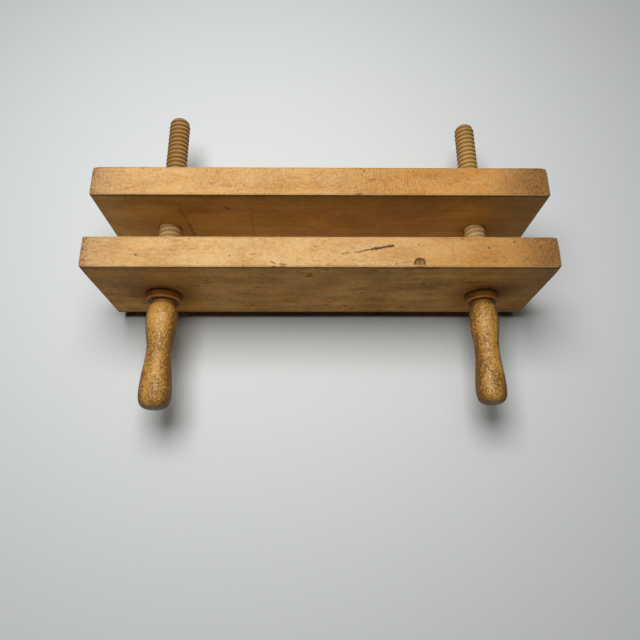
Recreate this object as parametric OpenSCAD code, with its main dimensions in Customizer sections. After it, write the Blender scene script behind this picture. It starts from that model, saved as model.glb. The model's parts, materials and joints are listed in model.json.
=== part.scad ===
// Bookbinding finishing press: two hardwood cheeks that two wooden screws draw together.
// X runs along the cheeks, Y runs from the handles to the screw tips, and Z points up.
// The origin is on the surface that the cheeks stand on, in the middle of the press's width and depth.

/* [Cheeks] */
// Length of both cheeks
cheek_length = 457; // [400:1:700]
// Height of both cheeks
cheek_height = 140; // [110:1:200]
// Thickness of both cheeks
cheek_thickness = 32; // [28:0.5:45]
// Bevel along each cheek's lower outer edge, measured on both of its faces
bevel = 19; // [4:0.5:24]
// Opening between the cheeks as the press stands
jaw_gap = 46.5; // [10:0.5:120]

/* [Screws] */
// Distance of the left screw's axis from the left end of the cheeks
left_inset = 64; // [40:1:120]
// Distance of the right screw's axis from the right end of the cheeks
right_inset = 58; // [40:1:120]
// Height of the screw axes above the surface
screw_height = 70; // [50:1:90]
// Diameter over the crests of the left screw's thread
left_screw_diameter = 23.2; // [20:0.1:28]
// Diameter over the crests of the right screw's thread
right_screw_diameter = 22; // [20:0.1:28]
// Advance of the screw in one turn
thread_pitch = 5.5; // [4.5:0.1:6.5]
// Depth of the thread from crest to root
thread_depth = 2; // [1:0.1:2.5]
// Width of the flat on each crest of the thread
crest_width = 1.3; // [0.6:0.1:1.8]
// Width of the flat at the root of the thread
root_width = 1; // [0.6:0.1:1.8]
// Left screw, from the seat of its collar to its tip
left_reach = 224; // [180:1:300]
// Right screw, from the seat of its collar to its tip
right_reach = 217; // [180:1:300]
// Rounding of each screw's tip, along the screw
tip_round = 11; // [2:0.5:14]
// How far the plain shank stands proud of the crests, so that the thread passes through its hole
shank_allowance = 0.75; // [0.4:0.05:1.5]

/* [Collars] */
// Diameter of the left screw's collar
left_collar_diameter = 36; // [30:0.5:50]
// Diameter of the right screw's collar
right_collar_diameter = 33; // [30:0.5:50]
// Thickness of both collars
collar_thickness = 8.3; // [5:0.1:14]
// Rounding of each collar's front edge
collar_round = 2; // [0.5:0.1:3]

/* [Grips] */
// Length of the left grip, from its collar to its end
left_grip_length = 113; // [95:1:160]
// Length of the right grip, from its collar to its end
right_grip_length = 108.5; // [95:1:160]
// Diameter of the left grip's neck, behind its bulge
left_neck_diameter = 23; // [18:0.1:26]
// Diameter of the right grip's neck
right_neck_diameter = 21.5; // [18:0.1:26]
// Length of the straight necks
neck_length = 3.5; // [1:0.5:8]
// Diameter of the left grip's bulge for the palm
left_bulge_diameter = 32.2; // [28:0.1:42]
// Diameter of the right grip's bulge
right_bulge_diameter = 29.6; // [28:0.1:42]
// Distance of the bulges from the collars
bulge_distance = 22; // [16:0.5:30]
// Diameter of the left grip's waist
left_waist_diameter = 25.2; // [22:0.1:34]
// Diameter of the right grip's waist
right_waist_diameter = 24.4; // [22:0.1:34]
// Distance of the waists from the collars
waist_distance = 52; // [42:0.5:64]
// Diameter of the left grip's bulb, at its end
left_bulb_diameter = 32.4; // [28:0.1:42]
// Diameter of the right grip's bulb
right_bulb_diameter = 30.2; // [28:0.1:42]
// Distance of the bulbs from the ends of the grips
bulb_setback = 16.5; // [10:0.5:24]
// Diameter of the tenon that holds the grip on its screw
tenon_diameter = 13; // [8:0.5:14]
// Length of the tenon
tenon_length = 45; // [20:1:70]

/* [Garter pegs] */
// Diameter of the peg that keeps each screw in the front cheek
peg_diameter = 9.5; // [6:0.5:12]
// Depth of the groove that the peg runs in
groove_depth = 3; // [1.5:0.1:4]

/* [Fits] */
// Gap around the shank in its hole, beside the peg in its groove and behind the collar
running_clearance = 0.3; // [0.2:0.05:0.6]
// Gap between the crests of the screw and the roots of the threaded hole
thread_clearance = 0.5; // [0.4:0.05:0.8]
// Gap filled with glue around the tenons and the pegs
glue_line = 0.1; // [0.05:0.01:0.2]

/* [Hidden] */
$fn = 64;

// Sides of one turn of thread
turn_sides = 16;
// How far a cutting tool runs past the face that it cuts
overrun = 1;
// How far the bar that a thread is trimmed to stands proud of its crests
trim_allowance = 0.25;
// Steps along one stretch of a turned outline
turning_steps = 10;
// Roundness of the turned shoulders and of the grips' ends: 2 is an ellipse, more is fuller
shoulder_fullness = 2.4;
end_fullness = 3;

// Places along the screws, measured from the inner face of the rear cheek
front_inner = -jaw_gap;
front_outer = front_inner - cheek_thickness;
collar_seat = front_outer - running_clearance;
left_tip = collar_seat + left_reach;
right_tip = collar_seat + right_reach;
handle_end = collar_seat - collar_thickness - max(left_grip_length, right_grip_length);
// Inner face of the rear cheek, with the whole depth of the press centred on the origin
rear_inner = -(handle_end + max(left_tip, right_tip)) / 2;

// The plain shanks and their grooves
shank_end = front_inner - overrun;
groove_middle = (front_inner + front_outer) / 2;
groove_half = peg_diameter / 2 + running_clearance;

// The corners of the thread's outline over one turn: rising flank, crest, falling flank, then the flat root
flank_width = (thread_pitch - crest_width - root_width) / 2;
outline_along = [0, flank_width, flank_width + crest_width, 2 * flank_width + crest_width];
outline_points = len(outline_along);
outline_end = outline_points - 1;

cheek_colour = "burlywood";
screw_colour = "tan";
grip_colour = "peru";
peg_colour = "sandybrown";

// The left or the right one of a pair of values: side is -1 for the left screw and 1 for the right one
function of_side(side, left, right) = side < 0 ? left : right;
function screw_radius(side) = of_side(side, left_screw_diameter, right_screw_diameter) / 2;
function shank_radius(side) = screw_radius(side) + shank_allowance;
function groove_radius(side) = shank_radius(side) - groove_depth;
function screw_tip(side) = of_side(side, left_tip, right_tip);

// Greatest radius of a screw's thread at a place along it: its start is hidden inside the shank
function thread_limit(side, z) =
    z < shank_end - thread_pitch / 2 ? groove_radius(side) - overrun : screw_radius(side);

// A right-hand threaded rod along Z, as one helical skin closed by a cap at each end.
// It is in step with every other rod, and limit gives its greatest radius at each place along it.
module threaded_rod(from, to, crest_radius, limit) {
    first = floor(turn_sides * from / thread_pitch);
    last = ceil(turn_sides * (to - outline_along[outline_end]) / thread_pitch);
    function along(i, k) = thread_pitch * i / turn_sides + outline_along[k];
    function outline_radius(k) = (k == 1 || k == 2) ? crest_radius : crest_radius - thread_depth;
    function at(i, k) = outline_points * (i - first) + k;
    skin_points = [
        for (i = [first:last], k = [0:outline_end])
            let (r = min(outline_radius(k), limit(along(i, k))), turn = 360 * i / turn_sides)
                [r * cos(turn), r * sin(turn), along(i, k)]
    ];
    start_centre = len(skin_points);
    end_centre = start_centre + 1;
    centres = [
        [0, 0, along(first, 0) + thread_pitch / 2],
        [0, 0, along(last, outline_end) - thread_pitch / 2]
    ];
    function quad(a, b, c, d) = [[a, d, c], [a, c, b]];
    ridge = [
        for (i = [first:last - 1], k = [0:outline_end - 1])
            each quad(at(i, k), at(i + 1, k), at(i + 1, k + 1), at(i, k + 1))
    ];
    root = [
        for (i = [first:last - turn_sides - 1])
            each quad(
                at(i, outline_end), at(i + 1, outline_end),
                at(i + 1 + turn_sides, 0), at(i + turn_sides, 0))
    ];
    start_cap = [
        for (i = [first:first + turn_sides - 1]) [at(i, 0), at(i + 1, 0), start_centre],
        [at(first + turn_sides, 0), at(first, outline_end), start_centre],
        for (k = [0:outline_end - 1]) [at(first, k + 1), at(first, k), start_centre]
    ];
    end_cap = [
        for (i = [last - turn_sides:last - 1]) [at(i + 1, outline_end), at(i, outline_end), end_centre],
        [at(last - turn_sides, outline_end), at(last, 0), end_centre],
        for (k = [0:outline_end - 1]) [at(last, k), at(last, k + 1), end_centre]
    ];
    polyhedron(concat(skin_points, centres), concat(ridge, root, start_cap, end_cap));
}

// Place of a screw's axis along the cheeks
function screw_place(side) = side * (cheek_length / 2 - of_side(side, left_inset, right_inset));

// Puts what is drawn along Z on a screw's axis, with Z = 0 at the inner face of the rear cheek
module on_screw_axis(side) {
    translate([screw_place(side), rear_inner, screw_height]) rotate([-90, 0, 0]) children();
}

// A cheek without its holes: inner is its inner face, and outward is the side that its bevel is on
module cheek_blank(inner, outward) {
    outer = inner + outward * cheek_thickness;
    translate([-cheek_length / 2, rear_inner, 0])
        rotate([90, 0, 90])
            linear_extrude(cheek_length)
                polygon([
                    [inner, 0], [inner, cheek_height], [outer, cheek_height],
                    [outer, bevel], [outer - outward * bevel, 0]
                ]);
}

// The upright bore of a garter peg, or the peg itself
module peg_bar(side, radius, from, to) {
    translate([screw_place(side), rear_inner + groove_middle, from])
        cylinder(r = radius, h = to - from);
}

module front_cheek() {
    color(cheek_colour)
        difference() {
            cheek_blank(front_inner, -1);
            for (side = [-1, 1]) {
                on_screw_axis(side)
                    translate([0, 0, front_outer - overrun])
                        cylinder(
                            r = shank_radius(side) + running_clearance,
                            h = cheek_thickness + 2 * overrun);
                peg_bar(side, peg_diameter / 2 + glue_line, -overrun, screw_height);
            }
        }
}

module rear_cheek() {
    past = 2 * thread_pitch;
    function hole_radius(side) = screw_radius(side) + thread_clearance;
    color(cheek_colour)
        difference() {
            cheek_blank(0, 1);
            for (side = [-1, 1])
                on_screw_axis(side)
                    threaded_rod(
                        -past, cheek_thickness + past, hole_radius(side),
                        function (z) hole_radius(side));
        }
}

// Tenon, collar and plain shank with its groove, turned about Z
module spindle_head(side) {
    collar_radius = of_side(side, left_collar_diameter, right_collar_diameter) / 2;
    collar_front = collar_seat - collar_thickness;
    shank = shank_radius(side);
    groove = groove_radius(side);
    rounding = [
        for (step = [0:turning_steps])
            let (turn = 90 * step / turning_steps)
                [collar_radius - collar_round * (1 - sin(turn)),
                 collar_front + collar_round * (1 - cos(turn))]
    ];
    rotate_extrude()
        polygon(concat(
            [
                [0, collar_front - tenon_length],
                [tenon_diameter / 2, collar_front - tenon_length],
                [tenon_diameter / 2, collar_front]
            ],
            rounding,
            [
                [collar_radius, collar_seat],
                [shank, collar_seat],
                [shank, groove_middle - groove_half],
                [groove, groove_middle - groove_half],
                [groove, groove_middle + groove_half],
                [shank, groove_middle + groove_half],
                [shank, shank_end],
                [0, shank_end]
            ]));
}

// The round-ended bar that a screw's thread is trimmed to, so that it runs out on the tip
module round_ended_bar(side) {
    radius = screw_radius(side) + trim_allowance;
    tip = screw_tip(side);
    arc = [
        for (step = [0:turning_steps])
            let (turn = 90 * step / turning_steps)
                [radius * cos(turn), tip - tip_round * (1 - sin(turn))]
    ];
    rotate_extrude()
        polygon(concat([[0, shank_end - 3 * thread_pitch], [radius, shank_end - 3 * thread_pitch]], arc));
}

module screw(side) {
    color(screw_colour)
        on_screw_axis(side)
            union() {
                spindle_head(side);
                intersection() {
                    threaded_rod(
                        shank_end - 2 * thread_pitch, screw_tip(side) + 2 * thread_pitch, screw_radius(side),
                        function (z) thread_limit(side, z));
                    round_ended_bar(side);
                }
            }
}

module left_screw() {
    screw(-1);
}

module right_screw() {
    screw(1);
}

// Share of a rounded shoulder's height at a share of its length from the top
function shoulder(share, fullness) = pow(1 - pow(share, fullness), 1 / fullness);
// Share of a smooth swell between two diameters
function swell(share) = (1 - cos(180 * share)) / 2;

// A turned grip about Z, from its collar at Z = 0 downwards to its end
module turned_grip(side) {
    neck = of_side(side, left_neck_diameter, right_neck_diameter) / 2;
    bulge = of_side(side, left_bulge_diameter, right_bulge_diameter) / 2;
    waist = of_side(side, left_waist_diameter, right_waist_diameter) / 2;
    bulb = of_side(side, left_bulb_diameter, right_bulb_diameter) / 2;
    bulb_distance = of_side(side, left_grip_length, right_grip_length) - bulb_setback;
    shares = [for (step = [1:turning_steps]) step / turning_steps];
    outline = concat(
        [[0, 0], [neck, 0], [neck, neck_length]],
        [for (s = shares)
            [neck + (bulge - neck) * shoulder(1 - s, shoulder_fullness),
             neck_length + (bulge_distance - neck_length) * s]],
        [for (s = shares)
            [bulge + (waist - bulge) * swell(s), bulge_distance + (waist_distance - bulge_distance) * s]],
        [for (s = shares)
            [waist + (bulb - waist) * swell(s), waist_distance + (bulb_distance - waist_distance) * s]],
        [for (s = shares)
            [bulb * shoulder(s, end_fullness), bulb_distance + bulb_setback * s]]
    );
    difference() {
        rotate_extrude()
            polygon([for (p = outline) [p[0], -p[1]]]);
        translate([0, 0, -tenon_length - glue_line])
            cylinder(d = tenon_diameter + 2 * glue_line, h = tenon_length + glue_line + overrun);
    }
}

module grip(side) {
    color(grip_colour)
        on_screw_axis(side)
            translate([0, 0, collar_seat - collar_thickness])
                turned_grip(side);
}

module left_grip() {
    grip(-1);
}

module right_grip() {
    grip(1);
}

// A peg glued in from below and trimmed flush with the foot and the bevel of the front cheek
module garter_peg(side) {
    peg_top = screw_height - groove_radius(side) - running_clearance;
    color(peg_colour)
        intersection() {
            cheek_blank(front_inner, -1);
            peg_bar(side, peg_diameter / 2, -overrun, peg_top);
        }
}

module left_garter_peg() {
    garter_peg(-1);
}

module right_garter_peg() {
    garter_peg(1);
}

front_cheek();
rear_cheek();
left_screw();
right_screw();
left_grip();
right_grip();
left_garter_peg();
right_garter_peg();
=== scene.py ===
"""Looks of a wooden finishing press: two worn maple cheeks, two threaded screws and two varnished grips.

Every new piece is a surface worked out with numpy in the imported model's own frame, in metres:
X along the cheeks, Y from the grips to the screw tips, Z up from the surface that the press stands on.
"""
import json
import math
from collections import namedtuple

import bpy
import numpy as np
from mathutils import Matrix, Vector


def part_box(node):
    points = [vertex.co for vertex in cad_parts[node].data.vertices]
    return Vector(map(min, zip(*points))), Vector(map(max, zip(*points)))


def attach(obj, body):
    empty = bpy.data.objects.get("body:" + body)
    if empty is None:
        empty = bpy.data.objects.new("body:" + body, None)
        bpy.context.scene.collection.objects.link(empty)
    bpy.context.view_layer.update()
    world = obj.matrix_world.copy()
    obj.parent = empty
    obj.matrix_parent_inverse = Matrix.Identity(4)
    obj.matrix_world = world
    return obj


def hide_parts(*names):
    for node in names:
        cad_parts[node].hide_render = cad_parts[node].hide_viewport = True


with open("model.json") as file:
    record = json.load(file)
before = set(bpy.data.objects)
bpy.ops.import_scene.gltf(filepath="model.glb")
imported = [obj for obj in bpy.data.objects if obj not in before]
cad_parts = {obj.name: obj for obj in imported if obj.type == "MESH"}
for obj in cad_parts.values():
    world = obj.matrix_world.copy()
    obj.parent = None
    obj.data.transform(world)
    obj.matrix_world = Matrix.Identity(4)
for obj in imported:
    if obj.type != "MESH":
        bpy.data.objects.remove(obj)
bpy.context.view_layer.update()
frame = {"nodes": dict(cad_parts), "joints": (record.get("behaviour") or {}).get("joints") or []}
MM = 0.001


def box_of(node):
    """Lowest and highest corner of a node of the frame, as arrays."""
    low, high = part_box(node)
    return np.array(low), np.array(high)


def axis_of(joint_name):
    """X and Z of a screw's axis, which runs along Y."""
    joint = next(joint for joint in frame["joints"] if joint["name"] == joint_name)
    return joint["pos_m"][0], joint["pos_m"][2]


# Cheeks
BEVEL = 19 * MM
ARRIS_RADIUS = 1.1 * MM
ARRIS_UNEVENNESS = 0.35 * MM
ARRIS_WAVES = (310 * MM, 83 * MM, 29 * MM)
ARRIS_REACH = 3 * MM
END_RADIUS = 0.9 * MM
END_WEAR = 0.5 * MM
END_WEAR_REACH = 4 * MM
PEG_HOLE_RADIUS = 4.85 * MM
BOARD_STEP = 1.4 * MM
ARC_STEPS = 6
# Divisions of the inner face, the top, the outer face, the bevel and the foot
SIDE_STEPS = (26, 12, 26, 8, 8)
BOARD_SHARP_DEGREES = 35

# Each cheek's box, the way along Y that its outer face looks, the seed of its wear, how amber its top is at
# least, where along X the amber and the grime of its right end begin, and how strongly its saw marks show
Cheek = namedtuple("Cheek", "side low high outward seed amber_least amber_from grime_from sawn")
FRONT = Cheek(
    "front", *box_of("front_cheek"), outward=-1, seed=11,
    amber_least=0.0, amber_from=20 * MM, grime_from=175 * MM, sawn=0.14)
REAR = Cheek(
    "rear", *box_of("rear_cheek"), outward=1, seed=29,
    amber_least=0.24, amber_from=-60 * MM, grime_from=165 * MM, sawn=0.36)
AMBER_RUN = 170 * MM

# Screws, with rounder crests than the solids and grooves half a millimetre shallower, from wear and from wax
THREAD_PITCH = 5.5 * MM
THREAD_DEPTH = 1.5 * MM
CREST_WIDTH = 0.9 * MM
FLANK_WIDTH = 1.8 * MM
THREAD_CLEARANCE = 0.5 * MM
SHANK_ALLOWANCE = 0.75 * MM
SHANK_CLEARANCE = 0.3 * MM
SHANK_STOP = 1 * MM
GROOVE_DEPTH = 3 * MM
GROOVE_HALF = 5.05 * MM
TIP_ROUND = 11 * MM
TRIM_ALLOWANCE = 0.25 * MM
COLLAR_THICKNESS = 8.3 * MM
COLLAR_ROUND = 2 * MM
SEAT_CHAMFER = 0.4 * MM
TENON_RADIUS = 6.5 * MM
SCREW_STEP = 0.4 * MM
SCREW_TURN_STEPS = 88
COLLAR_STEPS = 9
TIP_STEPS = 25

# Holes, whose cutters go past the wood by an excess
HOLE_EXCESS = 1 * MM
HOLE_TURN_STEPS = 64
PEG_HOLE_TURN_STEPS = 48
THREADED_HOLE_EXCESS = 2 * MM
THREADED_HOLE_STEP = 0.45 * MM

# Grips
NECK_LENGTH = 3.5 * MM
BULGE_DISTANCE = 22 * MM
WAIST_DISTANCE = 52 * MM
BULB_SETBACK = 16.5 * MM
SHOULDER_FULLNESS = 2.4
END_FULLNESS = 3
GLUE_LINE = 0.1 * MM
GRIP_UNEVENNESS = 0.2 * MM
GRIP_WAVES = (47 * MM, 19 * MM)
GRIP_WAVE_SLANT = 4 * MM
GRIP_EVEN_LENGTH = 6 * MM
GRIP_STEPS = 33
GRIP_END_STEPS = 41
GRIP_TURN_STEPS = 128
TURNED_SHARP_DEGREES = 50

# Each spindle's axis, the radii of its thread and its grip, how far its thread is stained brown, and how far
# the palm has polished its bulge
Spindle = namedtuple("Spindle", "side axis screw neck bulge waist bulb stain polish")
SPINDLES = (
    Spindle(
        "left", axis_of("left_screw_turn"), screw=11.6 * MM,
        neck=11.5 * MM, bulge=16.1 * MM, waist=12.6 * MM, bulb=16.2 * MM, stain=0.75, polish=0.12),
    Spindle(
        "right", axis_of("right_screw_turn"), screw=11 * MM,
        neck=10.75 * MM, bulge=14.8 * MM, waist=12.2 * MM, bulb=15.1 * MM, stain=0.05, polish=0.04),
)


# Surfaces

def ripple(t, lengths, seed):
    """Smooth unevenness from -1 to 1 along t: the mean of a sine for each wavelength, with seeded phases."""
    phases = np.random.default_rng(seed).uniform(0, 2 * np.pi, len(lengths))
    waves = [np.sin(2 * np.pi * t / length + phase) for length, phase in zip(lengths, phases)]
    return np.mean(waves, axis=0)


def smooth_step(share):
    """0 below 0, 1 above 1, and 3s^2 - 2s^3 between them."""
    share = np.clip(share, 0, 1)
    return share * share * (3 - 2 * share)


def swell(share):
    """A smooth change from 0 to 1: half a cosine wave."""
    return (1 - np.cos(np.pi * share)) / 2


def between(start, end, share):
    """The value at a share of the way from one to another."""
    return start + (end - start) * share


def tube_faces(rows, columns):
    """Faces of a tube of rings: quads from each ring to the next, and a fan to one more point at each end."""
    here = np.arange(columns)
    after = np.roll(here, -1)
    ring = np.arange(rows - 1)[:, None] * columns
    quads = np.stack([ring + here, ring + after, ring + columns + after, ring + columns + here], -1)
    last_ring = (rows - 1) * columns
    first_middle = rows * columns
    start = np.stack([after, here, np.full(columns, first_middle)], -1)
    end = np.stack([last_ring + here, last_ring + after, np.full(columns, first_middle + 1)], -1)
    return quads.reshape(-1, 4), np.concatenate([start, end])


def tube_mesh(name, rings):
    """A closed mesh over an array of rings (ring, place in the ring, xyz), with a fan over each end. The sign
    of its volume, a sum of triple products, tells whether its faces have to be turned outwards."""
    rows, columns, _ = rings.shape
    points = np.concatenate([rings.reshape(-1, 3), rings[:1].mean(1), rings[-1:].mean(1)])
    quads, fans = tube_faces(rows, columns)
    triangles = np.concatenate([quads[:, [0, 1, 2]], quads[:, [0, 2, 3]], fans])
    a, b, c = (points[triangles[:, k]] - points.mean(0) for k in range(3))
    if np.einsum("ij,ij->", a, np.cross(b, c)) < 0:
        quads, fans = quads[:, ::-1], fans[:, ::-1]
    mesh = bpy.data.meshes.new(name)
    mesh.from_pydata(points.tolist(), [], quads.tolist() + fans.tolist())
    return mesh


def set_attribute(mesh, name, values):
    """Stores one number for each vertex, for the finishes to read."""
    attribute = mesh.attributes.new(name, "FLOAT", "POINT")
    attribute.data.foreach_set("value", np.ravel(values).astype(np.float32))


def add_object(name, data):
    """Puts an object with its mesh, light or camera into the scene."""
    thing = bpy.data.objects.new(name, data)
    bpy.context.scene.collection.objects.link(thing)
    return thing


def bored(mesh, cutters):
    """The mesh with the shapes of the cutters taken out of it."""
    blank = add_object("blank", mesh)
    tools = [add_object("cutter", cutter) for cutter in cutters]
    for tool in tools:
        cut = blank.modifiers.new("bore", "BOOLEAN")
        cut.object = tool
        cut.solver = "EXACT"
    cut_blank = blank.evaluated_get(bpy.context.evaluated_depsgraph_get())
    made = bpy.data.meshes.new_from_object(cut_blank)
    made.name = mesh.name + "_bored"
    for thing in (blank, *tools):
        bpy.data.objects.remove(thing)
    return made


def add_piece(name, mesh, finish, body, node, sharp_degrees):
    """Puts a mesh into the scene in place of a node of the frame, shaded smooth up to the given angle."""
    mesh.shade_smooth()
    mesh.set_sharp_from_angle(angle=math.radians(sharp_degrees))
    mesh.materials.clear()
    mesh.materials.append(finish)
    piece = add_object(name, mesh)
    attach(piece, body)
    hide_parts(node)


# Cheeks

def faces_of(cheek):
    """Y of a cheek's inner face and of its outer face."""
    front, back = cheek.low[1], cheek.high[1]
    return (front, back) if cheek.outward > 0 else (back, front)


def middle_of(cheek):
    """Y of the middle of a cheek's thickness."""
    return (cheek.low[1] + cheek.high[1]) / 2


def unit(vectors):
    """Each vector of an array at a length of 1."""
    return vectors / np.linalg.norm(vectors, axis=-1, keepdims=True)


def eased_outlines(corners, radii, insets, arc_steps, side_steps):
    """Outlines of a convex section with rounded corners, one for each row of radii and its inset.
    The arc of a corner of radius r touches both of its sides, so it is the corner plus r times an arc for
    radius 1. An inset moves the corner along its bisector and takes as much off the radius. Each straight
    side between two arcs is divided by half a cosine wave, so that its points crowd towards the arcs."""
    to_last = unit(np.roll(corners, 1, 0) - corners)
    to_next = unit(np.roll(corners, -1, 0) - corners)
    half_angle = np.arccos(np.einsum("kj,kj->k", to_last, to_next))[:, None] / 2
    centre = unit(to_last + to_next) / np.sin(half_angle)
    start = to_last / np.tan(half_angle) - centre
    end = to_next / np.tan(half_angle) - centre
    share = np.linspace(0, 1, arc_steps)
    sweep = np.pi - 2 * half_angle
    from_start = (np.sin((1 - share) * sweep) / np.sin(sweep))[..., None]
    from_end = (np.sin(share * sweep) / np.sin(sweep))[..., None]
    unit_arc = centre[:, None] + from_start * start[:, None] + from_end * end[:, None]
    moved = corners + insets[:, None, None] * centre
    arcs = moved[:, :, None] + (radii - insets[:, None])[:, :, None, None] * unit_arc
    parts = []
    for k, steps in enumerate(side_steps):
        along = swell(np.arange(1, steps) / steps)[:, None]
        next_arc = arcs[:, (k + 1) % len(corners)]
        parts += [arcs[:, k], between(arcs[:, k, -1:], next_arc[:, :1], along)]
    return np.concatenate(parts, 1)


def cheek_blank(cheek, knocks):
    """A cheek's closed skin: its section carried along X. The radius of the section's corners wears unevenly
    along the length and grows towards the ends, and both ends are rounded over a quarter circle. A knock is a
    Gaussian dent, given by its place, its reach along X, Y and Z, and how far it pushes the surface in."""
    low, high = cheek.low, cheek.high
    inner, outer = faces_of(cheek)
    corners = np.array([
        [inner, low[2]], [inner, high[2]], [outer, high[2]],
        [outer, low[2] + BEVEL], [outer - cheek.outward * BEVEL, low[2]],
    ])
    turn = np.linspace(0, np.pi / 2, ARC_STEPS)
    run = np.arange(low[0] + END_RADIUS, high[0] - END_RADIUS, BOARD_STEP)[1:]
    end_x = END_RADIUS * (1 - np.cos(turn))
    end_inset = END_RADIUS * (1 - np.sin(turn))
    x = np.concatenate([low[0] + end_x, run, high[0] - end_x[::-1]])
    insets = np.concatenate([end_inset, 0 * run, end_inset[::-1]])
    to_end = np.minimum(x - low[0], high[0] - x)
    least_radius = ARRIS_RADIUS + END_WEAR * np.exp(-(to_end / END_WEAR_REACH) ** 2)
    seeds = range(cheek.seed, cheek.seed + len(corners))
    radii = np.stack([least_radius + ARRIS_UNEVENNESS * ripple(x, ARRIS_WAVES, seed) for seed in seeds], 1)
    outline = eased_outlines(corners, radii, insets, ARC_STEPS, SIDE_STEPS)
    rings = np.concatenate([np.broadcast_to(x[:, None, None], outline.shape[:2] + (1,)), outline], -1)
    for place, reach, push in knocks:
        distance = (((rings - place) / reach) ** 2).sum(-1)
        rings = rings + push * np.exp(-distance)[..., None]
    return tube_mesh(f"{cheek.side}_board", rings)


def arris_closeness(mesh, cheek):
    """1 on a cheek's arrises, falling to 0 at their reach, by the distance to its second nearest plane."""
    flat = np.zeros(len(mesh.vertices) * 3, np.float32)
    mesh.vertices.foreach_get("co", flat)
    place = flat.reshape(-1, 3).astype(float)
    _, outer = faces_of(cheek)
    below_outer = cheek.outward * (outer - place[:, 1:2]) + place[:, 2:] - cheek.low[2]
    bevel = (below_outer - BEVEL) / math.sqrt(2)
    planes = np.abs(np.concatenate([place - cheek.low, cheek.high - place, bevel], 1))
    return np.clip(1 - np.sort(planes, axis=1)[:, 1] / ARRIS_REACH, 0, 1)


# Screws

def about_axis(radius, y, turn, axis):
    """Points at a radius and a turn about a screw's axis. Turns count as a right-hand screw goes in."""
    x, z = axis
    return np.stack(np.broadcast_arrays(x + radius * np.cos(turn), y, z - radius * np.sin(turn)), -1)


def full_turn(steps):
    """Evenly spaced turns about an axis, as one row."""
    return np.linspace(0, 2 * np.pi, steps, endpoint=False)[None, :]


def thread_height(y, turn):
    """Share of the thread's depth at a place along a screw and a turn about it: 1 over the crest's width, and
    down its flanks as a smooth step. The crest climbs one pitch a turn, from the rear cheek's inner face."""
    first_crest = REAR.low[1] + FLANK_WIDTH + CREST_WIDTH / 2
    phase = (y - first_crest) / THREAD_PITCH - turn / (2 * np.pi)
    from_crest = np.abs(phase - np.round(phase)) * THREAD_PITCH
    return 1 - smooth_step((from_crest - CREST_WIDTH / 2) / FLANK_WIDTH)


def threaded_cutter(spindle):
    """A threaded rod through the rear cheek, larger than the screw by the thread's clearance."""
    turn = full_turn(HOLE_TURN_STEPS)
    start, end = REAR.low[1] - THREADED_HOLE_EXCESS, REAR.high[1] + THREADED_HOLE_EXCESS
    y = np.arange(start, end, THREADED_HOLE_STEP)[:, None]
    radius = spindle.screw + THREAD_CLEARANCE - THREAD_DEPTH * (1 - thread_height(y, turn))
    return tube_mesh("cutter", about_axis(radius, y, turn, spindle.axis))


def shank_cutter(spindle):
    """A plain rod through the front cheek, larger than the shank by its clearance."""
    y = np.array([FRONT.low[1] - HOLE_EXCESS, FRONT.high[1] + HOLE_EXCESS])[:, None]
    radius = spindle.screw + SHANK_ALLOWANCE + SHANK_CLEARANCE
    return tube_mesh("cutter", about_axis(radius, y, full_turn(HOLE_TURN_STEPS), spindle.axis))


def peg_cutter(spindle):
    """A plain upright rod from below the front cheek to the screw's axis."""
    turn = full_turn(PEG_HOLE_TURN_STEPS)
    middle_x, top = spindle.axis
    x = middle_x + PEG_HOLE_RADIUS * np.cos(turn)
    y = middle_of(FRONT) + PEG_HOLE_RADIUS * np.sin(turn)
    z = np.array([FRONT.low[2] - HOLE_EXCESS, top])[:, None]
    return tube_mesh("cutter", np.stack(np.broadcast_arrays(x, y, z), -1))


def collar_of(spindle):
    """Y of a collar's front and of its seat."""
    front = box_of(f"{spindle.side}_grip")[1][1]
    return front, front + COLLAR_THICKNESS


def screw_skin(spindle):
    """A screw's closed skin: an outline turned about the axis, from the tenon over the collar, the shank and
    its groove to the thread, whose radius is kept within a half ellipse that rounds the tip."""
    low, high = box_of(f"{spindle.side}_screw")
    collar_radius = (high[0] - low[0]) / 2
    collar_front, seat = collar_of(spindle)
    stop = FRONT.high[1] - SHANK_STOP
    groove_start, groove_end = middle_of(FRONT) - GROOVE_HALF, middle_of(FRONT) + GROOVE_HALF
    shank = spindle.screw + SHANK_ALLOWANCE
    groove = shank - GROOVE_DEPTH
    turn = np.linspace(0, np.pi / 2, COLLAR_STEPS)
    rounding_y = collar_front + COLLAR_ROUND * (1 - np.cos(turn))
    rounding_radius = collar_radius - COLLAR_ROUND * (1 - np.sin(turn))
    head = np.array([
        [low[1], TENON_RADIUS], [collar_front, TENON_RADIUS],
        *np.stack([rounding_y, rounding_radius], 1),
        [seat - SEAT_CHAMFER, collar_radius], [seat, collar_radius - SEAT_CHAMFER], [seat, shank],
        [groove_start, shank], [groove_start, groove], [groove_end, groove], [groove_end, shank],
        [stop, shank],
    ])
    run = np.arange(stop, high[1] - TIP_ROUND, SCREW_STEP)
    dome = high[1] - TIP_ROUND * (1 - np.sin(np.linspace(0, np.pi / 2, TIP_STEPS)[:-1]))
    y = np.concatenate([head[:, 0], run, dome])[:, None]
    around = full_turn(SCREW_TURN_STEPS)
    height = thread_height(y, around)
    past_full = np.clip((y - high[1]) / TIP_ROUND + 1, 0, 1)
    envelope = (spindle.screw + TRIM_ALLOWANCE) * np.sqrt(1 - past_full ** 2)
    radius = np.minimum(spindle.screw - THREAD_DEPTH * (1 - height), envelope)
    radius[:len(head)] = head[:, 1:]
    height[:len(head)] = 1
    mesh = tube_mesh(f"{spindle.side}_spindle", about_axis(radius, y, around, spindle.axis))
    set_attribute(mesh, "crest", np.append(height, (1, 1)))
    return mesh


# Grips

def shoulder(share, fullness):
    """A rounded shoulder's height at a share of its length: a superellipse."""
    return (1 - share ** fullness) ** (1 / fullness)


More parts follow.
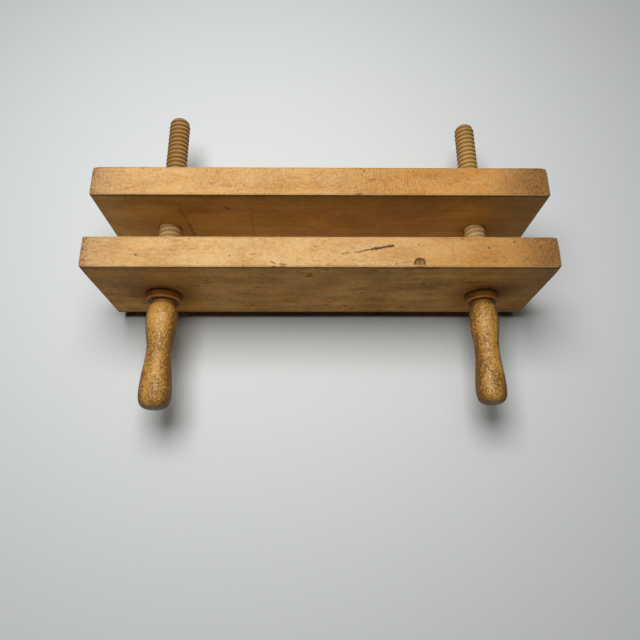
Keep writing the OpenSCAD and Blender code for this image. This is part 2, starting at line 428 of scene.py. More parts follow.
def grip_skin(spindle, seed):
    """A grip's closed skin: an outline turned about the axis, from the bottom of the tenon's bore over the
    neck, the bulge, the waist and the bulb to the end, out of round by a product of two seeded ripples."""
    low, high = box_of(f"{spindle.side}_grip")
    collar = high[1]
    bulb_distance = collar - low[1] - BULB_SETBACK
    bore = TENON_RADIUS + GLUE_LINE
    bore_depth = collar - box_of(f"{spindle.side}_screw")[0][1] + GLUE_LINE
    share = np.linspace(0, 1, GRIP_STEPS)[1:]
    end_share = np.sin(np.linspace(0, np.pi / 2, GRIP_END_STEPS)[1:-1])
    stretches = [
        (np.array([bore_depth, 0, 0, NECK_LENGTH]), np.array([bore, bore, spindle.neck, spindle.neck])),
        (between(NECK_LENGTH, BULGE_DISTANCE, share),
         between(spindle.neck, spindle.bulge, shoulder(1 - share, SHOULDER_FULLNESS))),
        (between(BULGE_DISTANCE, WAIST_DISTANCE, share), between(spindle.bulge, spindle.waist, swell(share))),
        (between(WAIST_DISTANCE, bulb_distance, share), between(spindle.waist, spindle.bulb, swell(share))),
        (bulb_distance + BULB_SETBACK * end_share, spindle.bulb * shoulder(end_share, END_FULLNESS)),
    ]
    from_collar, radius = (np.concatenate(part)[:, None] for part in zip(*stretches))
    around = full_turn(GRIP_TURN_STEPS)
    uneven = ripple(from_collar + GRIP_WAVE_SLANT * np.sin(around), GRIP_WAVES, seed)
    uneven = uneven * ripple(around, (2 * np.pi, np.pi), seed)
    outside = smooth_step((from_collar - NECK_LENGTH) / GRIP_EVEN_LENGTH) * (radius > bore)
    radius = radius + GRIP_UNEVENNESS * outside * uneven
    skin = about_axis(radius, collar - from_collar, around, spindle.axis)
    return tube_mesh(f"{spindle.side}_handle", skin)


# Shader nodes

VECTOR, NUMBER = "NodeSocketVector", "NodeSocketFloat"
MIX_SHARE, MIX_ONE, MIX_TWO, MIX_COLOUR = 0, 6, 7, 2


def feed(tree, node, inputs):
    """Feeds a node's inputs: each takes a value or another node's output."""
    for key, value in inputs.items():
        if isinstance(value, bpy.types.NodeSocket):
            tree.links.new(value, node.inputs[key])
        else:
            node.inputs[key].default_value = value


def add_node(tree, kind, inputs, **options):
    """Adds a node with its options, and feeds its inputs."""
    node = tree.nodes.new(kind)
    for option, value in options.items():
        setattr(node, option, value)
    feed(tree, node, inputs)
    return node


def maths(tree, operation, *values):
    """One number worked out from others."""
    return add_node(tree, "ShaderNodeMath", dict(enumerate(values)), operation=operation).outputs[0]


def product(tree, first, *others):
    """The product of several numbers."""
    made = first
    for other in others:
        made = maths(tree, "MULTIPLY", made, other)
    return made


def summed(tree, *parts, base=0.0):
    """A sum of numbers, each paired with its weight, on top of a base."""
    total = base
    for value, weight in parts:
        total = maths(tree, "MULTIPLY_ADD", value, weight, total)
    return total


def opposite(tree, mask):
    """1 where the mask is 0, and 0 where it is 1."""
    return maths(tree, "SUBTRACT", 1.0, mask)


def vector_maths(tree, operation, *values, output="Vector"):
    """A vector, or a number, worked out from vectors."""
    node = add_node(tree, "ShaderNodeVectorMath", dict(enumerate(values)), operation=operation)
    return node.outputs[output]


def fade(tree, value, low, high):
    """A mask that goes smoothly from 0 where the value is low to 1 where it is high. Low may exceed high."""
    inputs = {"Value": value, "From Min": low, "From Max": high}
    return add_node(tree, "ShaderNodeMapRange", inputs, interpolation_type="SMOOTHSTEP").outputs["Result"]


def noise(tree, place, fineness, detail=3.0, roughness=0.5):
    """Noise from 0 to 1 with so many patches to the metre along each axis."""
    stretched = vector_maths(tree, "MULTIPLY", place, fineness)
    inputs = {"Vector": stretched, "Scale": 1.0, "Detail": detail, "Roughness": roughness}
    return add_node(tree, "ShaderNodeTexNoise", inputs).outputs["Fac"]


def blend(tree, share, one, two, kind="MIX"):
    """A colour between two, each a colour or another node's output: all of the first where the share is 0.
    Where the kind is MULTIPLY, the second colour tints the first one."""
    colours = [(*end, 1) if isinstance(end, tuple) else end for end in (one, two)]
    inputs = {MIX_SHARE: share, MIX_ONE: colours[0], MIX_TWO: colours[1]}
    return add_node(tree, "ShaderNodeMix", inputs, data_type="RGBA", blend_type=kind).outputs[MIX_COLOUR]


def covered(tree, colour, over, *masks):
    """A colour with another one laid over it, as far as the product of the masks."""
    return blend(tree, product(tree, *masks), colour, over)


def axis_parts(tree, place):
    """The X, Y and Z of a place."""
    return add_node(tree, "ShaderNodeSeparateXYZ", {0: place}).outputs


def stored_number(tree, name):
    """The number that the mesh stores under a name for each vertex."""
    return add_node(tree, "ShaderNodeAttribute", {}, attribute_name=name).outputs["Fac"]


def new_group(name, recipe, **inputs):
    """A node group with inputs, each of a type. Its recipe takes them and gives its outputs, all numbers."""
    tree = bpy.data.node_groups.new(name, "ShaderNodeTree")
    for socket, kind in inputs.items():
        tree.interface.new_socket(socket, in_out="INPUT", socket_type=kind)
    given = tree.nodes.new("NodeGroupInput").outputs
    made = recipe(tree, *(given[socket] for socket in inputs))
    for socket in made:
        tree.interface.new_socket(socket, in_out="OUTPUT", socket_type=NUMBER)
    add_node(tree, "NodeGroupOutput", made)
    return tree


def use_group(tree, group, inputs):
    """Places a group in a finish with its own values."""
    return add_node(tree, "ShaderNodeGroup", inputs, node_tree=group).outputs


def new_finish(name):
    """A material, its node tree, its shader and the Object coordinates that its patterns follow."""
    material = bpy.data.materials.new(name)
    material.use_nodes = True
    tree = material.node_tree
    place = tree.nodes.new("ShaderNodeTexCoord").outputs["Object"]
    return material, tree, tree.nodes["Principled BSDF"], place


def feed_shader(tree, shader, height, bump_depth, inputs):
    """Feeds a finish's shader, and gives it a bump of the given height and depth."""
    bump = add_node(tree, "ShaderNodeBump", {"Strength": 0.6, "Distance": bump_depth, "Height": height})
    feed(tree, shader, {**inputs, "Normal": bump.outputs["Normal"]})


# Effects that the finishes share

def maple_figure(tree, place, pith):
    """Maple whose grain runs along X: soft streaks, fine lines, short dark flecks in clusters, broad
    blotches, and growth rings about a pith line beside the piece."""
    wander = maths(tree, "SUBTRACT", noise(tree, place, (9, 26, 26), 2.0), 0.5)
    shift = vector_maths(tree, "MULTIPLY", wander, (0, 6 * MM, 6 * MM))
    bent = vector_maths(tree, "ADD", place, shift)
    flecks = fade(tree, noise(tree, bent, (100, 700, 230), 2.0), 0.57, 0.68)
    clusters = fade(tree, noise(tree, place, (22, 50, 30), 2.0), 0.42, 0.62)
    from_pith = vector_maths(tree, "SUBTRACT", bent, pith)
    across = vector_maths(tree, "MULTIPLY", from_pith, (0.06, 1, 1))
    rings_per_metre = 330
    distance = vector_maths(tree, "LENGTH", across, output="Value")
    ring = maths(tree, "FRACT", product(tree, distance, rings_per_metre))
    return {
        "Streaks": noise(tree, bent, (7, 300, 140), 4.0, 0.6),
        "Lines": noise(tree, bent, (28, 1900, 1900), 2.0, 0.6),
        "Flecks": product(tree, flecks, clusters),
        "Blotches": noise(tree, place, (16, 42, 42), 3.0),
        "Rings": product(tree, fade(tree, ring, 0, 0.75), fade(tree, ring, 1, 0.85)),
    }


def grime_specks(tree, place, fineness, rarity):
    """Round dark pits scattered over a surface: each cell of a pattern holds one of its own size, most of
    them none. The rarer they are, the fewer cells hold a large one."""
    cells = add_node(tree, "ShaderNodeTexVoronoi", {"Vector": place, "Scale": fineness}).outputs
    chance = add_node(tree, "ShaderNodeSeparateColor", {0: cells["Color"]}).outputs[0]
    largest_radius = 0.16
    radius = product(tree, maths(tree, "POWER", chance, rarity), largest_radius)
    inside = maths(tree, "SUBTRACT", radius, cells["Distance"])
    return {"Specks": fade(tree, inside, -0.03, 0.06)}


def saw_marks(tree, place):
    """Short fine dashes across the grain: ridges of a stretched noise, in two slants, broken into patches."""
    layers = []
    for slant, fineness in ((0.04, (850, 230, 230)), (-0.12, (1050, 190, 190))):
        mapping = {"Vector": place, "Rotation": (0, 0, slant)}
        turned = add_node(tree, "ShaderNodeMapping", mapping).outputs[0]
        dashes = fade(tree, noise(tree, turned, fineness, 2.0), 0.55, 0.68)
        patches = fade(tree, noise(tree, turned, (26, 44, 44), 2.0), 0.34, 0.58)
        layers.append(product(tree, dashes, patches))
    return {"Dashes": maths(tree, "MAXIMUM", *layers)}


def edge_wear(tree, place, closeness):
    """What wear does beside an edge: bare wood on the edge and a line of grime next to it, both broken up."""
    broken = maths(tree, "SUBTRACT", noise(tree, place, (120, 160, 160), 3.0), 0.5)
    worn = summed(tree, (broken, 0.5), base=closeness)
    bare = fade(tree, worn, 0.62, 0.85)
    beside = product(tree, fade(tree, worn, 0.28, 0.55), opposite(tree, bare))
    return {"Bare": bare, "Grime": beside}


def stroke(tree, place, start, end, width):
    """A ragged mark along a line from one place to another: 1 within about its width of the line."""
    line = vector_maths(tree, "SUBTRACT", end, start)
    offset = vector_maths(tree, "SUBTRACT", place, start)
    along = vector_maths(tree, "DOT_PRODUCT", offset, line, output="Value")
    length_squared = vector_maths(tree, "DOT_PRODUCT", line, line, output="Value")
    reached = maths(tree, "MAXIMUM", maths(tree, "DIVIDE", along, length_squared), 0.0)
    share = maths(tree, "MINIMUM", reached, 1.0)
    nearest = add_node(tree, "ShaderNodeVectorMath", {0: line, "Scale": share}, operation="SCALE")
    distance = vector_maths(tree, "DISTANCE", offset, nearest.outputs["Vector"], output="Value")
    ragged = maths(tree, "SUBTRACT", noise(tree, place, (330, 560, 330), 3.0, 0.7), 0.26)
    reach = product(tree, width, ragged, 4.4)
    return {"Mark": fade(tree, maths(tree, "DIVIDE", distance, reach), 1.25, 0.5)}


def half_knot(tree, place, middle, radius):
    """A knot that a sawn edge cuts in half: a brown half disc with a darker, uneven rim, open towards -Y."""
    offset = vector_maths(tree, "SUBTRACT", place, middle)
    ragged = summed(tree, (noise(tree, place, (420, 420, 420), 3.0), 0.5), base=0.75)
    out = maths(tree, "DIVIDE", vector_maths(tree, "LENGTH", offset, output="Value"), radius)
    out = maths(tree, "DIVIDE", out, ragged)
    rim = product(tree, fade(tree, out, 0.4, 0.8), fade(tree, out, 1.15, 0.95))
    streaks = fade(tree, noise(tree, place, (560, 90, 90)), 0.45, 0.6)
    fill = product(tree, fade(tree, out, 1, 0.85), summed(tree, (streaks, 0.4), base=0.6))
    upper = fade(tree, axis_parts(tree, offset)["Y"], -2.5 * MM, -1 * MM)
    return {"Knot": product(tree, maths(tree, "MAXIMUM", rim, fill), upper)}


MAPLE_FIGURE = new_group("maple_figure", maple_figure, Place=VECTOR, Pith=VECTOR)
GRIME_SPECKS = new_group("grime_specks", grime_specks, Place=VECTOR, Fineness=NUMBER, Rarity=NUMBER)
SAW_MARKS = new_group("saw_marks", saw_marks, Place=VECTOR)
EDGE_WEAR = new_group("edge_wear", edge_wear, Place=VECTOR, Closeness=NUMBER)
STROKE = new_group("stroke", stroke, Place=VECTOR, Start=VECTOR, End=VECTOR, Width=NUMBER)
HALF_KNOT = new_group("half_knot", half_knot, Place=VECTOR, Middle=VECTOR, Radius=NUMBER)


def specks(tree, place, fineness, rarity):
    """Dark specks over a finish, as a mask."""
    inputs = {"Place": place, "Fineness": fineness, "Rarity": rarity}
    return use_group(tree, GRIME_SPECKS, inputs)["Specks"]


def figure_along(tree, pith, *parts):
    """The figure of maple whose grain runs along the first of three parts of a place."""
    grain = add_node(tree, "ShaderNodeCombineXYZ", dict(enumerate(parts))).outputs[0]
    return use_group(tree, MAPLE_FIGURE, {"Place": grain, "Pith": pith})


# Finishes

WORN_LIGHT, WORN_DARK = (0.72, 0.455, 0.195), (0.53, 0.285, 0.098)
AMBERED_LIGHT, AMBERED_DARK = (0.63, 0.325, 0.098), (0.44, 0.2, 0.05)
DULLED, GRIMY_END = (0.47, 0.28, 0.14), (0.205, 0.107, 0.042)
FACE_LIGHT, FACE_DARK = (0.82, 0.42, 0.108), (0.43, 0.19, 0.039)
# Painted light: the inner face gets paler copies of the face colours, for light that falls short between the
# cheeks
INNER_LIT_LIGHT, INNER_LIT_DARK = (0.82, 0.495, 0.148), (0.54, 0.3, 0.075)
TINT_WARM, TINT_COOL = (1.03, 0.945, 0.79), (0.97, 1.045, 1.2)
# A dark brown for grime and marks, also used as painted shade where collars and holes meet the wood
DARK_GRIME_AND_SHADE = (0.085, 0.038, 0.013)
# Painted shade for the foot and the bevel, which lie in the shadow under a cheek
FOOT_PAINTED_SHADE = (0.11, 0.048, 0.018)
FLECK_BROWN = (0.15, 0.06, 0.016)
# Painted shade and painted reflection of the collar's colour, in a brown ring around each screw
COLLAR_SHADE_BROWN = (0.3, 0.105, 0.012)
END_GRAIN = (0.27, 0.13, 0.042)
THREAD_TAN, THREAD_PALE, THREAD_GRIME = (0.46, 0.26, 0.083), (0.8, 0.56, 0.23), (0.2, 0.092, 0.024)
# A brown for stain towards the tip, also used as painted shade on a thread's left flank
STAIN_AND_SHADE_BROWN = (0.27, 0.127, 0.033)
# The gold is a painted highlight along a collar's front rim
COLLAR_RED, COLLAR_AMBER, RIM_HIGHLIGHT_GOLD = (0.17, 0.052, 0.006), (0.28, 0.105, 0.015), (0.56, 0.27, 0.07)
AMBER_GOLD, AMBER_LIGHT = (0.83, 0.5, 0.135), (0.55, 0.265, 0.044)
AMBER_MIDDLE, AMBER_DARK = (0.33, 0.135, 0.017), (0.14, 0.06, 0.01)
HANDLED_GREY = (0.26, 0.17, 0.09)


def cheek_sides(tree, place, cheek):
    """Masks of a cheek's top, of its inner face, and of the foot and the bevel that its shadow hides."""
    _, y, z = axis_parts(tree, place)
    inner, _ = faces_of(cheek)
    from_inner = maths(tree, "ABSOLUTE", maths(tree, "SUBTRACT", y, inner))
    top = cheek.high[2]
    bevel_top = cheek.low[2] + BEVEL
    on_top = fade(tree, z, top - 1.2 * MM, top - 0.6 * MM)
    on_inner = fade(tree, from_inner, 2 * MM, 0.5 * MM)
    foot = fade(tree, z, bevel_top + 4 * MM, bevel_top)
    return on_top, on_inner, foot


def cheek_wood(tree, place, figure, mottle, amber, on_top, inner):
    """Colours of an oiled cheek before its marks: worn to honey or amber on the top, brown on the outer face,
    and paler on the inner face, as painted light for the gap between the cheeks. They drift between a redder
    and a greener tone along the grain, as old oil colours maple unevenly, and drift less on the top."""
    clouds = noise(tree, place, (24, 60, 36), 3.0, 0.55)
    grain = summed(tree, (clouds, 0.6), (figure["Streaks"], 0.5), (mottle, 0.35))
    grain = fade(tree, grain, 0.5, 0.95)
    face = blend(tree, grain, FACE_DARK, FACE_LIGHT)
    # Painted light: the inner face is paler than the outer face, standing in for light in the gap
    inner_lit = blend(tree, grain, INNER_LIT_DARK, INNER_LIT_LIGHT)
    fine = noise(tree, place, (620, 560, 400), 2.0, 0.6)
    patchy = summed(tree, (mottle, 0.6), (figure["Blotches"], 0.7), (fine, 0.45))
    worn_dark = blend(tree, amber, WORN_DARK, AMBERED_DARK)
    worn_light = blend(tree, amber, WORN_LIGHT, AMBERED_LIGHT)
    worn = blend(tree, fade(tree, patchy, 0.63, 1.05), worn_dark, worn_light)
    colour = blend(tree, on_top, blend(tree, inner, face, inner_lit), worn)
    drift = fade(tree, noise(tree, place, (45, 110, 60), 5.0, 0.7), 0.35, 0.65)
    tint = blend(tree, drift, TINT_COOL, TINT_WARM)
    plain = product(tree, on_top, summed(tree, (amber, -0.4), base=0.5))
    return blend(tree, opposite(tree, plain), colour, tint, "MULTIPLY")


def handled(tree, place, colour, uneven, on_top, cheek):
    """A cheek's colours under what hands leave on it: the top is dull on the left end and grimy on the right
    end, and brown granules thicken towards both ends."""
    x = axis_parts(tree, place)["X"]
    end = cheek.high[0]
    dull = fade(tree, uneven, 45 * MM - end, -end)
    colour = covered(tree, colour, DULLED, dull, on_top, 0.6)
    granules = noise(tree, place, (640, 520, 260), 4.0, 0.75)
    speckled = summed(tree, (fade(tree, granules, 0.36, 0.64), 0.35), base=0.3)
    grimy = fade(tree, uneven, cheek.grime_from, end - 5 * MM)
    colour = covered(tree, colour, GRIMY_END, grimy, summed(tree, (on_top, speckled), base=0.3))
    left = fade(tree, x, 18 * MM - end, -end)
    right = fade(tree, x, end - 70 * MM, end)
    thicker = summed(tree, (left, 0.2), (right, 0.16), base=granules)
    shown = summed(tree, (on_top, 0.6), base=0.3)
    return covered(tree, colour, FLECK_BROWN, fade(tree, thicker, 0.6, 0.84), shown)


def screw_shade_rings(tree, place, radii):
    """Masks of painted shade around the screws: a brown ring of shade and of the collar's reflected colour,
    and a dark line of contact shade at the given radii, one for each screw, where a collar or a hole ends."""
    collar_shade, line = 0.0, 0.0
    for spindle, radius in zip(SPINDLES, radii):
        offset = vector_maths(tree, "SUBTRACT", place, (spindle.axis[0], 0, spindle.axis[1]))
        flat = vector_maths(tree, "MULTIPLY", offset, (1, 0, 1))
        distance = vector_maths(tree, "LENGTH", flat, output="Value")
        collar_shade = maths(tree, "MAXIMUM", collar_shade, fade(tree, distance, radius + 30 * MM, radius))
        line = maths(tree, "MAXIMUM", line, fade(tree, distance, radius + 2.6 * MM, radius + 0.8 * MM))
    return collar_shade, line


def dark_marks(tree, place, strokes, knots):
    """A mask of a cheek's pits, strokes and knots. A stroke is a mark's start, end, width and strength, and a
    knot is a middle and a radius."""
    pits = maths(tree, "MAXIMUM", specks(tree, place, 150.0, 5.0), specks(tree, place, 260.0, 3.5))
    marks = product(tree, pits, 0.7)
    for start, end, width, strength in strokes:
        inputs = {"Place": place, "Start": start, "End": end, "Width": width}
        mark = use_group(tree, STROKE, inputs)["Mark"]
        marks = maths(tree, "MAXIMUM", marks, product(tree, mark, strength))
    for middle, radius in knots:
        knot = use_group(tree, HALF_KNOT, {"Place": place, "Middle": middle, "Radius": radius})["Knot"]
        marks = maths(tree, "MAXIMUM", marks, product(tree, knot, 0.95))
    return marks


def oiled_cheek(cheek, radii, strokes, knots):
    """Old oiled maple with flecks along the grain, saw marks, worn arrises, growth rings on its ends and the
    cheek's own marks. Painted shade rings the screws at the given radii and darkens the foot and the bevel."""
    material, tree, shader, place = new_finish(f"{cheek.side}_oiled_maple")
    x, y, z = axis_parts(tree, place)
    end, top = cheek.high[0], cheek.high[2]
    pith = (0, middle_of(cheek) + 20 * MM, cheek.low[2] - 50 * MM)
    figure = figure_along(tree, pith, x, y, z)
    edge = use_group(tree, EDGE_WEAR, {"Place": place, "Closeness": stored_number(tree, "arris")})
    dashes = use_group(tree, SAW_MARKS, {"Place": place})["Dashes"]
    mottle = noise(tree, place, (180, 330, 170), 4.0, 0.65)
    on_top, inner, foot = cheek_sides(tree, place, cheek)
    uneven = summed(tree, (maths(tree, "SUBTRACT", mottle, 0.5), 70 * MM), base=x)
    amber = fade(tree, uneven, cheek.amber_from, cheek.amber_from + AMBER_RUN)
    amber = maths(tree, "MAXIMUM", amber, cheek.amber_least)
    colour = cheek_wood(tree, place, figure, mottle, amber, on_top, inner)
    collar_shade, line = screw_shade_rings(tree, place, radii)
    # Painted shade and painted reflection of the collar: a brown ring around each screw
    colour = covered(tree, colour, COLLAR_SHADE_BROWN, collar_shade, summed(tree, (inner, -0.5), base=0.75))
    colour = handled(tree, place, colour, uneven, on_top, cheek)
    # Painted shade: a dark line where a collar or a hole meets the wood
    colour = covered(tree, colour, DARK_GRIME_AND_SHADE, line, summed(tree, (inner, -0.5), base=0.85))
    below_top = fade(tree, z, top - 6 * MM, top - 1.5 * MM)
    colour = covered(tree, colour, DARK_GRIME_AND_SHADE, below_top, opposite(tree, on_top), 0.5)
    colour = covered(tree, colour, DARK_GRIME_AND_SHADE, edge["Grime"], 0.25)
    colour = covered(tree, colour, WORN_LIGHT, edge["Bare"], 0.5)
    from_end = maths(tree, "SUBTRACT", end, maths(tree, "ABSOLUTE", x))
    at_end = fade(tree, from_end, 1 * MM, 0.4 * MM)
    ringed = blend(tree, figure["Rings"], END_GRAIN, FACE_DARK)
    colour = covered(tree, colour, ringed, at_end, 0.85)
    flecking = summed(tree, (on_top, -0.3), (inner, -0.5), base=0.65)
    colour = covered(tree, colour, FLECK_BROWN, figure["Flecks"], flecking)
    sawn = summed(tree, (on_top, cheek.sawn), base=0.04)
    colour = covered(tree, colour, FLECK_BROWN, dashes, sawn)
    marks = dark_marks(tree, place, strokes, knots)
    colour = covered(tree, colour, DARK_GRIME_AND_SHADE, marks)
    shaded = maths(tree, "SUBTRACT", 0.97, maths(tree, "MAXIMUM", at_end, inner))
    # Painted shade: the foot and the bevel are darkened, as the shadow under the cheek
    colour = covered(tree, colour, FOOT_PAINTED_SHADE, foot, maths(tree, "MAXIMUM", shaded, 0.0))
    dents = summed(tree, (dashes, 0.4), (figure["Flecks"], 1.0), (marks, 1.0))
    height = summed(tree, (figure["Lines"], 0.35), (dents, -0.6), base=figure["Streaks"])
    height = product(tree, height, opposite(tree, foot))
    feed_shader(tree, shader, height, 0.35 * MM, {
        "Base Color": colour,
        "Roughness": summed(tree, (figure["Lines"], 0.16), base=0.46),
        "Specular IOR Level": 0.06,
    })
    return material


def thread_wood(tree, place, figure, spindle):
    """Colours of a thread: pale wood near the shank, tan behind the rear cheek, browner towards the tip, with
    painted shade on the left flank, grime in the grooves, crests paler from wear and from a painted
    highlight, and a few specks."""
    x, y, _ = axis_parts(tree, place)
    middle = spindle.axis[0]
    tip = box_of(f"{spindle.side}_screw")[1][1]
    behind = fade(tree, y, REAR.low[1] + 4 * MM, REAR.high[1])
    wood = blend(tree, behind, THREAD_PALE, THREAD_TAN)
    stained = summed(tree, (fade(tree, y, tip - 60 * MM, tip), 0.5), base=spindle.stain)
    wood = covered(tree, wood, STAIN_AND_SHADE_BROWN, stained, summed(tree, (behind, 0.6), base=0.4))
    # Painted shade down the thread's left flank
    left_flank_shade = fade(tree, x, middle - 0.2 * spindle.screw, middle - spindle.screw)
    wood = covered(tree, wood, STAIN_AND_SHADE_BROWN, left_flank_shade, behind, 0.6)
    wood = covered(tree, wood, STAIN_AND_SHADE_BROWN, fade(tree, figure["Streaks"], 0.62, 0.35), 0.3)
    crest = maths(tree, "SUBTRACT", stored_number(tree, "crest"), 0.25)
    uneven = summed(tree, (figure["Blotches"], 0.5), base=crest)
    dirty = summed(tree, (behind, 0.35 * spindle.stain), base=0.45)
    wood = covered(tree, wood, THREAD_GRIME, fade(tree, uneven, 0.9, 0.1), dirty)
    # Pale crests: partly bare wear, partly a painted highlight along each crest
    wood = covered(tree, wood, THREAD_PALE, fade(tree, uneven, 0.75, 1.05), 0.46 - 0.12 * spindle.stain)
    return covered(tree, wood, AMBER_DARK, specks(tree, place, 260.0, 5.0), 0.6)


def collar_varnish(tree, y, figure, front, seat):
    """Colours of a collar: dark red varnish, with a painted highlight of gold along the rim and painted shade
    at the seat, where the collar meets the cheek.
    """
    varnish = blend(tree, fade(tree, figure["Streaks"], 0.3, 0.7), COLLAR_RED, COLLAR_AMBER)
    inside_rim = fade(tree, y, front, front + 0.6 * MM)
    outside_rim = fade(tree, y, front + 2.2 * MM, front + 1.4 * MM)
    # Painted highlight: a gold line along the rim's rounding
    varnish = covered(tree, varnish, RIM_HIGHLIGHT_GOLD, inside_rim, outside_rim, 0.5)
    # Painted shade at the seat, where the collar meets the cheek
    return covered(tree, varnish, DARK_GRIME_AND_SHADE, fade(tree, y, seat - 1.8 * MM, seat - 0.2 * MM))


def waxed_screw(spindle):
    """Turned maple with a waxed thread, and a collar under varnish, which starts at the collar's seat."""
    material, tree, shader, place = new_finish(f"{spindle.side}_waxed_screw")
    collar_front, seat = collar_of(spindle)
    x, y, z = axis_parts(tree, place)
    pith = (0, spindle.axis[0] + 6 * MM, spindle.axis[1] - 30 * MM)
    figure = figure_along(tree, pith, y, x, z)
    wood = thread_wood(tree, place, figure, spindle)
    varnished = fade(tree, y, seat + 0.3 * MM, seat - 0.3 * MM)
    colour = blend(tree, varnished, wood, collar_varnish(tree, y, figure, collar_front, seat))
    height = summed(tree, (figure["Lines"], 0.4), base=figure["Streaks"])
    feed_shader(tree, shader, height, 0.2 * MM, {
        "Base Color": colour,
        "Roughness": summed(tree, (figure["Lines"], 0.2), (varnished, -0.08), base=0.4),
        "Specular IOR Level": 0.15,
        "Coat Weight": product(tree, varnished, 0.06),
        "Coat Roughness": 0.2,
    })
    return material


def varnished_grip(spindle):
    """Old crackled varnish over turned maple: granules of gold, amber and grime, cleaner on the bulge that
    the palm polishes and dirtier on the bulb, with a painted highlight that makes it golden above, painted
    shade below, on both sides and more on the right side, a dark neck and a greyer end."""
    material, tree, shader, place = new_finish(f"{spindle.side}_grip_varnish")
    low, high = box_of(f"{spindle.side}_grip")
    end, collar = low[1], high[1]
    x, y, z = axis_parts(tree, place)
    clouds = noise(tree, place, (210, 150, 210), 4.0, 0.85)
    granules = noise(tree, place, (580, 410, 580), 3.0, 0.75)
    patches = noise(tree, place, (75, 50, 75), 3.0, 0.6)
    middle_x, middle_z = spindle.axis
    bulge = spindle.bulge
    sideways = maths(tree, "SUBTRACT", x, middle_x)
    polished = fade(tree, y, collar - WAIST_DISTANCE, collar - BULGE_DISTANCE + 6 * MM)
    # Painted shade: the right side, both sides and the underside of a grip are darker, by how light falls on
    # it
    right_side = fade(tree, sideways, 0.0, bulge)
    both_sides = fade(tree, maths(tree, "ABSOLUTE", sideways), 0.4 * bulge, bulge)
    below = fade(tree, z, middle_z + 0.85 * bulge, middle_z + 0.1 * bulge)
    on_bulb = fade(tree, y, end + 42 * MM, end + 26 * MM)
    # The patches of dirt are summed here with the painted shade of the sides and the underside
    soil_and_shade = summed(
        tree, (patches, 1.1), (polished, -spindle.polish), (right_side, 0.08), (both_sides, 0.22),
        (below, 0.18), (on_bulb, 0.07))
    # grimy holds the painted shade of the sides and the underside as well as the dirt
    grimy = summed(tree, (soil_and_shade, 0.65), base=granules)
    browned = fade(tree, maths(tree, "ADD", clouds, soil_and_shade), 0.72, 1.28)
    colour = blend(tree, browned, AMBER_LIGHT, AMBER_MIDDLE)
    # Painted highlight: the top of the grip is made golden
    top_highlight = fade(tree, z, middle_z + 0.5 * bulge, middle_z + 0.95 * bulge)
    golden = summed(tree, (fade(tree, granules, 0.54, 0.36), 0.5), (top_highlight, 0.16))
    colour = covered(tree, colour, AMBER_GOLD, golden)
    colour = covered(tree, colour, AMBER_DARK, fade(tree, grimy, 0.8, 1.12), 0.8)
    neck = fade(tree, y, collar - NECK_LENGTH - 2 * MM, collar - NECK_LENGTH)
    colour = covered(tree, colour, COLLAR_AMBER, neck, 0.75)
    colour = covered(tree, colour, HANDLED_GREY, fade(tree, y, end + 4 * MM, end), 0.7)
    feed_shader(tree, shader, granules, 0.7 * MM, {
        "Base Color": colour,
        "Roughness": summed(tree, (fade(tree, grimy, 0.7, 1), 0.36), base=0.25),
        "Specular IOR Level": 0.3,
        "Coat Weight": summed(tree, (granules, -0.2), base=0.14),
        "Coat Roughness": 0.3,
    })
    return material


def trimmed_peg(spindle):
    """End grain of a peg that was trimmed flush: its grain runs upwards, so that rings show from below."""
    material, tree, shader, place = new_finish(f"{spindle.side}_peg_end")
    x, y, z = axis_parts(tree, place)
    pith = (0, spindle.axis[0] + 4 * MM, middle_of(FRONT) - 9 * MM)
    figure = figure_along(tree, pith, z, x, y)
    ringed = summed(tree, (figure["Lines"], 0.4), base=figure["Rings"])
    colour = blend(tree, fade(tree, ringed, 0.1, 1), THREAD_TAN, END_GRAIN)
    colour = covered(tree, colour, DARK_GRIME_AND_SHADE, specks(tree, place, 500.0, 5.0), 0.7)
    feed_shader(tree, shader, ringed, 0.2 * MM, {
        "Base Color": colour,
        "Roughness": summed(tree, (figure["Lines"], 0.2), base=0.5),
    })
    return material


# Pieces

# Millimetres that a knock reaches along X, Y and Z, and that a nick reaches in and down
KNOCK_REACH = (3.5, 3.5, 9)
NICK_REACH_IN, NICK_REACH_DOWN = 2.2, 2
# How far a knock pushes down for each millimetre inwards
KNOCK_DROP = 0.8


def top_place(cheek, x, back):
    """A place on a cheek's top, in millimetres from the middle of its length and from its front arris."""
    return x * MM, cheek.low[1] + back * MM, cheek.high[2]


def dent(place, reach, push):
    """A knock as cheek_blank takes it, from a reach and a push in millimetres."""
    return np.array(place), np.array(reach) * MM, np.array(push) * MM


def corner_knock(cheek, right, back, depth):
    """A top corner rounded off towards the cheek's middle: right and back are 1, or -1 for left and front."""
    corner = np.where([right > 0, back > 0, True], cheek.high, cheek.low)
    return dent(corner, KNOCK_REACH, (-right * depth, -back * depth, -KNOCK_DROP * depth))


def arris_nick(cheek, x, length, depth):
    """A chip out of a cheek's top front arris."""
    reach = (length / 2, NICK_REACH_IN, NICK_REACH_DOWN)
    return dent(top_place(cheek, x, 0), reach, (0, depth, -depth))


def top_strokes(cheek, marks):
    """Marks on a cheek's top: each has two ends and a width in millimetres, and a strength."""
    return [
        (top_place(cheek, *start), top_place(cheek, *end), width * MM, strength)
        for start, end, width, strength in marks
    ]


def inner_stroke(start, end, width, strength):
    """A mark on the rear cheek's inner face, between two places given by their X and Z in millimetres."""
    ends = [(x * MM, REAR.low[1], z * MM) for x, z in (start, end)]
    return *ends, width * MM, strength


